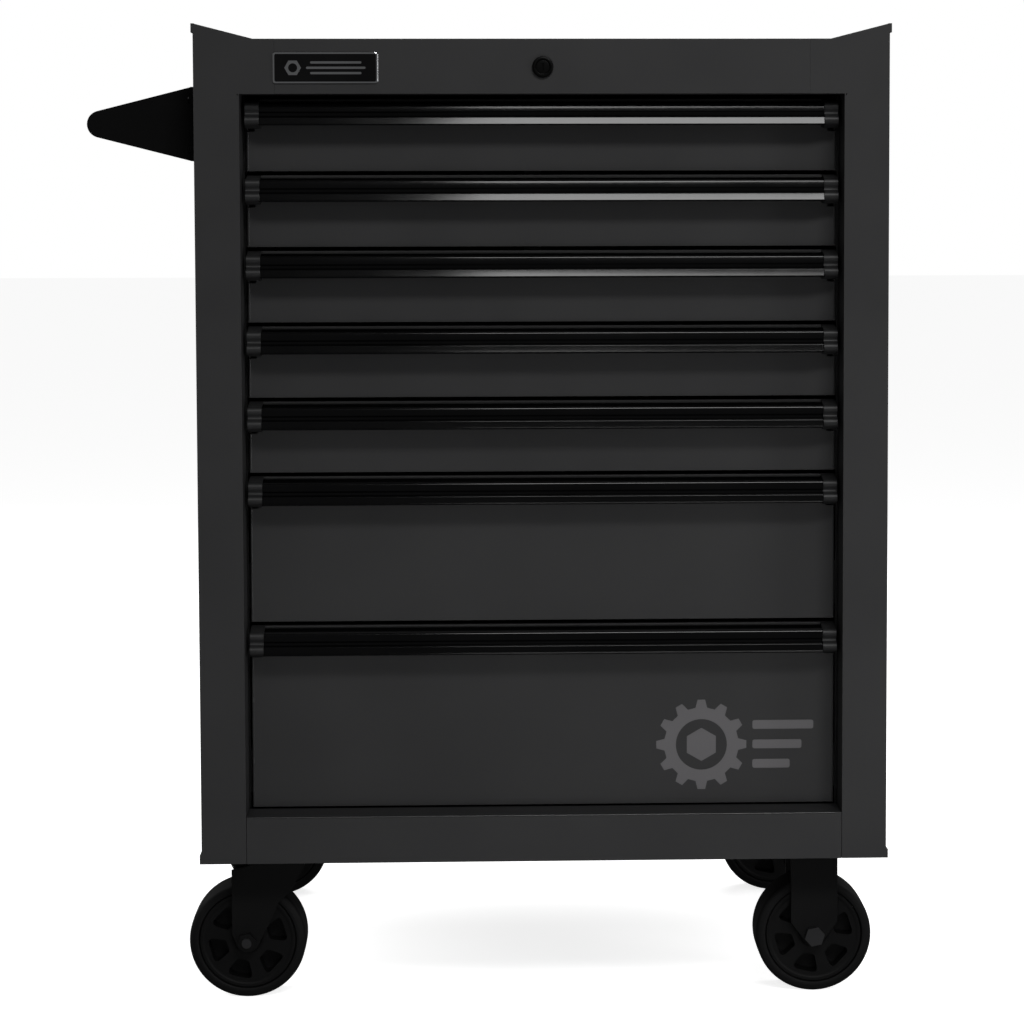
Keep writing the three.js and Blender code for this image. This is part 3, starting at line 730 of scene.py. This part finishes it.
def make_pull(number):
    """A pull along a drawer's top edge, with a cap at each end."""
    node = f"drawer_{number}_pull"
    low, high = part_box(node)
    box_low, box_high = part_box(f"drawer_{number}_box")
    face_y, top_z = box_low.y, box_high.z
    body = f"drawer_{number}"
    bar = slab_x(placed(pull_section(), face_y, top_z), low.x, high.x)
    piece(f"pull_{number}", shaded(bar, "pull", 40), body, PULL, "pull_black", node)
    cap_width, gap = 13.8 * MM, 0.1 * MM
    for name, edge, side in (("left", low.x, -1), ("right", high.x, 1)):
        ends = sorted((edge + side * gap, edge + side * cap_width))
        cap = slab_x(placed(cap_section(), face_y, top_z), *ends)
        soften(cap, 0.7 * MM, 2, 50)
        piece(f"pull_{number}_cap_{name}", shaded(cap, "cap", 40), body, CAP, "pull_cap")


def make_liner(number):
    """Ribbed mat on the drawer's floor."""
    low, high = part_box(f"drawer_{number}_box")
    slide_low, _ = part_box(f"drawer_{number}_slide_left")
    _, slide_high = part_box(f"drawer_{number}_slide_right")
    slide_gap, end_gap, floor_height = 14 * MM, 19 * MM, 7.3 * MM
    x0, x1 = slide_low.x + slide_gap, slide_high.x - slide_gap
    y0, y1 = low.y + end_gap, high.y - end_gap
    floor = low.z + floor_height
    mat_top = floor + 1.2 * MM
    pitch = 4.0 * MM
    outline = [(x0, floor), (x0, mat_top)]
    for i in range(int((x1 - x0) / pitch)):
        x = x0 + (i + 0.5) * pitch
        for dx, dz in ((-1.2, 1.2), (-0.7, 2.0), (0.7, 2.0), (1.2, 1.2)):
            outline.append((x + dx * MM, floor + dz * MM))
    outline += [(x1, mat_top), (x1, floor)]
    mat = slab_y(outline, y0, y1)
    piece(f"liner_{number}", shaded(mat, "liner", 60), f"drawer_{number}", LINER, "liner")


def make_face_edges(number):
    """Rounded folds down both side edges of a drawer's face, from under the pull to the bottom corner."""
    low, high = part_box(f"drawer_{number}_box")
    corner_gap, pull_height = 1.5 * MM, 33 * MM
    z0, z1 = low.z + corner_gap, high.z - pull_height
    edges = bmesh.new()
    for side, x in ((-1, low.x), (1, high.x)):
        section = arc(x - side * 1.0 * MM, low.y + 0.85 * MM, FOLD_RADIUS, 0, 345, 23)
        merged(edges, loft([[(px, py, z) for px, py in section] for z in (z0, z1)]))
    piece(f"face_edges_{number}", shaded(edges, "edges", 40), f"drawer_{number}", EDGE, "drawer_paint")


def make_drawers():
    for number in DRAWERS:
        refined(f"drawer_{number}_box", SHEET_EDGE, FACE, "drawer_paint")
        make_face_edges(number)
        for side in ("left", "right"):
            plain(f"drawer_{number}_slide_{side}", ZINC)
        make_pull(number)
        make_liner(number)


make_drawers()


# ---------------------------------------------------------------- emblem


def gear_outline(x, z, root, tip, teeth):
    """Outline of a gear with flat-topped teeth, as (x, z) points."""
    points = []
    for i in range(teeth):
        for part, radius in ((-0.30, root), (-0.16, tip), (0.16, tip), (0.30, root)):
            angle = 2 * math.pi * (i + part) / teeth
            points.append((x + radius * math.cos(angle), z + radius * math.sin(angle)))
    return points


def make_emblem():
    """A gear ring with a hexagon in it, beside three bars, flat on the lowest drawer's face."""
    low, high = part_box("drawer_7_box")
    off_centre, above_bottom = 160 * MM, 60 * MM
    x, z = (low.x + high.x) / 2 + off_centre, low.z + above_bottom
    y0, y1 = low.y - 0.25 * MM, low.y - 0.03 * MM
    gear = slab_y(gear_outline(x, z, 38 * MM, 46 * MM, 12), y0, y1)
    hole = slab_y(arc(x, z, 26 * MM, 0, 352.5, 47), y0 - MM, y1 + MM)
    mark = cut_with(gear, hole)
    merged(mark, slab_y(hexagon(x, z, 17 * MM, 30), y0, y1))
    bars_left, bar_height = x + 52 * MM, 9 * MM
    for level, length in ((20, 62), (0, 50), (-20, 38)):
        bar = rounded(bars_left + length * MM / 2, z + level * MM, length * MM, bar_height, 2 * MM, 4)
        merged(mark, slab_y(bar, y0, y1))
    piece("drawer_emblem", shaded(mark, "emblem"), "drawer_7", VINYL, "emblem")


make_emblem()


# ---------------------------------------------------------------- fasteners


def cap_screw(direction, place, radius, height):
    """A domed screw head with a hexagon socket, standing along a direction."""
    profile = [
        (0, 0), (radius, 0), (radius, -height * 0.5), (radius * 0.85, -height * 0.85),
        (radius * 0.55, -height), (0, -height),
    ]
    socket = slab_y(hexagon(0, 0, radius * 0.42), -height - MM, -height * 0.45)
    bm = cut_with(disc_y(profile, (0, 0, 0), 32), socket)
    turn = Vector((0, -1, 0)).rotation_difference(Vector(direction)).to_matrix().to_4x4()
    bm.transform(Matrix.Translation(place) @ turn)
    return bm


def make_caster_bolts():
    """Four bolts with washers through each caster's top plate."""
    plate, washer_height = 3 * MM, 1.3 * MM
    head_radius, washer_radius = 7.2 * MM, 8.2 * MM
    bolts = bmesh.new()
    for node in (f"{kind}_{end}" for end in ENDS for kind in ("swivel_plate", "rigid_fork")):
        low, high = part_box(node)
        x, y, under = (low.x + high.x) / 2, (low.y + high.y) / 2, high.z - plate
        for side_x, side_y in ((-1, -1), (1, -1), (-1, 1), (1, 1)):
            centre = (x + side_x * 34 * MM, y + side_y * 30 * MM)
            head = hexagon(*centre, head_radius, 44 if side_x > 0 else -24)
            bolt = loft([[(px, py, z) for px, py in head] for z in (under - 4.5 * MM, under - 1.2 * MM)])
            soften(bolt, 0.5 * MM, 2)
            washer = arc(*centre, washer_radius, 0, 350, 35)
            merged(bolt, loft([[(px, py, z) for px, py in washer] for z in (under - washer_height, under)]))
            merged(bolts, bolt)
    piece("caster_bolts", shaded(bolts, "bolts", 35), "root", BOLT, "bolt_steel")


def make_back_rivets():
    """Two rows of flat rivets down the back sheet."""
    low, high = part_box("back_panel")
    profile = [(0, 0), (3.4 * MM, 0), (3.2 * MM, 0.5 * MM), (2.2 * MM, 0.9 * MM), (0, 1.0 * MM)]
    inset, end_inset, count = 13 * MM, 45 * MM, 7
    pitch = (high.z - low.z - 2 * end_inset) / (count - 1)
    rivets = bmesh.new()
    for x in (low.x + inset, high.x - inset):
        for i in range(count):
            merged(rivets, disc_y(profile, (x, high.y, low.z + end_inset + i * pitch), 24))
    piece("back_rivets", shaded(rivets, "rivets", 50), "root", PAINT, "cabinet_paint")


def make_handle_screws():
    """Four screws through each handle bracket's foot."""
    depth, side_inset, end_inset = 6.8 * MM, 3.4 * MM, 12 * MM
    head_radius, head_height = 2.8 * MM, 2.2 * MM
    for end in ENDS:
        low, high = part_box(f"handle_bracket_{end}")
        x = high.x - depth
        screws = bmesh.new()
        for y in (low.y + side_inset, high.y - side_inset):
            for z in (low.z + end_inset, high.z - end_inset):
                merged(screws, cap_screw((-1, 0, 0), (x, y, z), head_radius, head_height))
        piece(f"handle_screws_{end}", shaded(screws, "screws", 40), "root", LOCK, "handle_cast")


make_caster_bolts()
make_back_rivets()
make_handle_screws()


# ---------------------------------------------------------------- camera, lights and floor

# The white world's strength as a light and as a reflection.
AMBIENT = 0.16
REFLECTED = 0.09


def make_camera():
    """A long lens at the height of the top drawers, looking slightly down, with the view shifted."""
    place = (-0.0090, -3.2763, 0.8232)
    yaw, pitch, roll = (math.radians(angle) for angle in (2.04, 4.02, -0.12))
    ahead = Vector((math.sin(yaw) * math.cos(pitch), math.cos(yaw) * math.cos(pitch), -math.sin(pitch)))
    level = Vector((math.cos(yaw), -math.sin(yaw), 0))
    upward = level.cross(ahead)
    right = math.cos(roll) * level + math.sin(roll) * upward
    up = math.cos(roll) * upward - math.sin(roll) * level
    data = bpy.data.cameras.new("camera")
    data.sensor_width = 36
    data.lens = 105.71
    data.shift_x = -0.0732
    data.shift_y = -0.1094
    data.clip_end = 60
    camera = bpy.data.objects.new("camera", data)
    bpy.context.scene.collection.objects.link(camera)
    camera.matrix_world = Matrix.Translation(place) @ Matrix((right, up, -ahead)).transposed().to_4x4()
    bpy.context.scene.camera = camera


def softbox(name, place, target, size, power, reflected=True):
    """A rectangular light that faces a target. One that isn't reflected gives no highlights."""
    data = bpy.data.lights.new(name, "AREA")
    data.shape = "RECTANGLE"
    data.size, data.size_y = size
    data.energy = power
    lamp = bpy.data.objects.new(name, data)
    bpy.context.scene.collection.objects.link(lamp)
    lamp.location = place
    lamp.rotation_mode = "QUATERNION"
    lamp.rotation_quaternion = (Vector(target) - Vector(place)).to_track_quat("-Z", "Y")
    lamp.visible_camera = False
    lamp.visible_glossy = reflected


def make_world():
    """White to the camera, dim as a light and dimmer in reflections, so that black stays black."""
    world = bpy.data.worlds.new("studio")
    bpy.context.scene.world = world
    world.use_nodes = True
    tree = world.node_tree
    path = tree.nodes.new("ShaderNodeLightPath")
    shader = tree.nodes["Background"]
    shader.inputs["Strength"].default_value = AMBIENT
    for output, strength in (("Is Glossy Ray", REFLECTED), ("Is Camera Ray", 1.0)):
        mix = tree.nodes.new("ShaderNodeMixShader")
        other = tree.nodes.new("ShaderNodeBackground")
        other.inputs["Strength"].default_value = strength
        tree.links.new(path.outputs[output], mix.inputs["Fac"])
        tree.links.new(shader.outputs[0], mix.inputs[1])
        tree.links.new(other.outputs["Background"], mix.inputs[2])
        shader = mix
    for node in tree.nodes:
        if node.type == "BACKGROUND":
            node.inputs["Color"].default_value = (1, 1, 1, 1)
    tree.links.new(shader.outputs[0], tree.nodes["World Output"].inputs["Surface"])


def make_floor():
    """A pale floor that lights nothing and shows in no reflection."""
    mesh = bpy.data.meshes.new("floor")
    bm = bmesh.new()
    bmesh.ops.create_grid(bm, x_segments=2, y_segments=2, size=25)
    bm.to_mesh(mesh)
    bm.free()
    floor = bpy.data.objects.new("floor", mesh)
    bpy.context.scene.collection.objects.link(floor)
    material = bpy.data.materials.new("pale_floor")
    material.use_nodes = True
    shader = material.node_tree.nodes["Principled BSDF"]
    shader.inputs["Base Color"].default_value = (0.9, 0.9, 0.9, 1)
    shader.inputs["Roughness"].default_value = 0.9
    shader.inputs["Specular IOR Level"].default_value = 0.0
    shader.inputs["Emission Color"].default_value = (1, 1, 1, 1)
    shader.inputs["Emission Strength"].default_value = 0.8
    mesh.materials.append(material)
    floor.visible_glossy = False
    floor.visible_diffuse = False


def make_studio():
    """Area lights placed about the object, the world and the floor."""
    bpy.context.scene.view_settings.view_transform = "Standard"
    low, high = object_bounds()
    x, front = (low.x + high.x) / 2, low.y
    softbox("key", (x + 0.85, front - 3.0, 2.9), (x, front, 0.5), (1.9, 0.6), 53)
    softbox("fill", (x + 0.25, front - 1.05, 0.15), (x, front, 0.3), (1.2, 0.5), 7, False)
    softbox("side", (x + 1.7, front - 0.9, 0.7), (x + 0.3, front, 0.6), (0.3, 1.4), 5)
    back = high.y
    softbox("left", (x - 2.6, 0.3, 1.9), (x - 0.3, 0.0, 0.6), (1.2, 1.2), 34)
    softbox("right", (x + 2.6, 0.5, 1.9), (x + 0.3, 0.1, 0.6), (1.2, 1.2), 24)
    softbox("back", (x + 0.6, back + 2.6, 2.2), (x, back, 0.6), (1.6, 1.0), 44)
    make_world()
    make_floor()


make_camera()
make_studio()
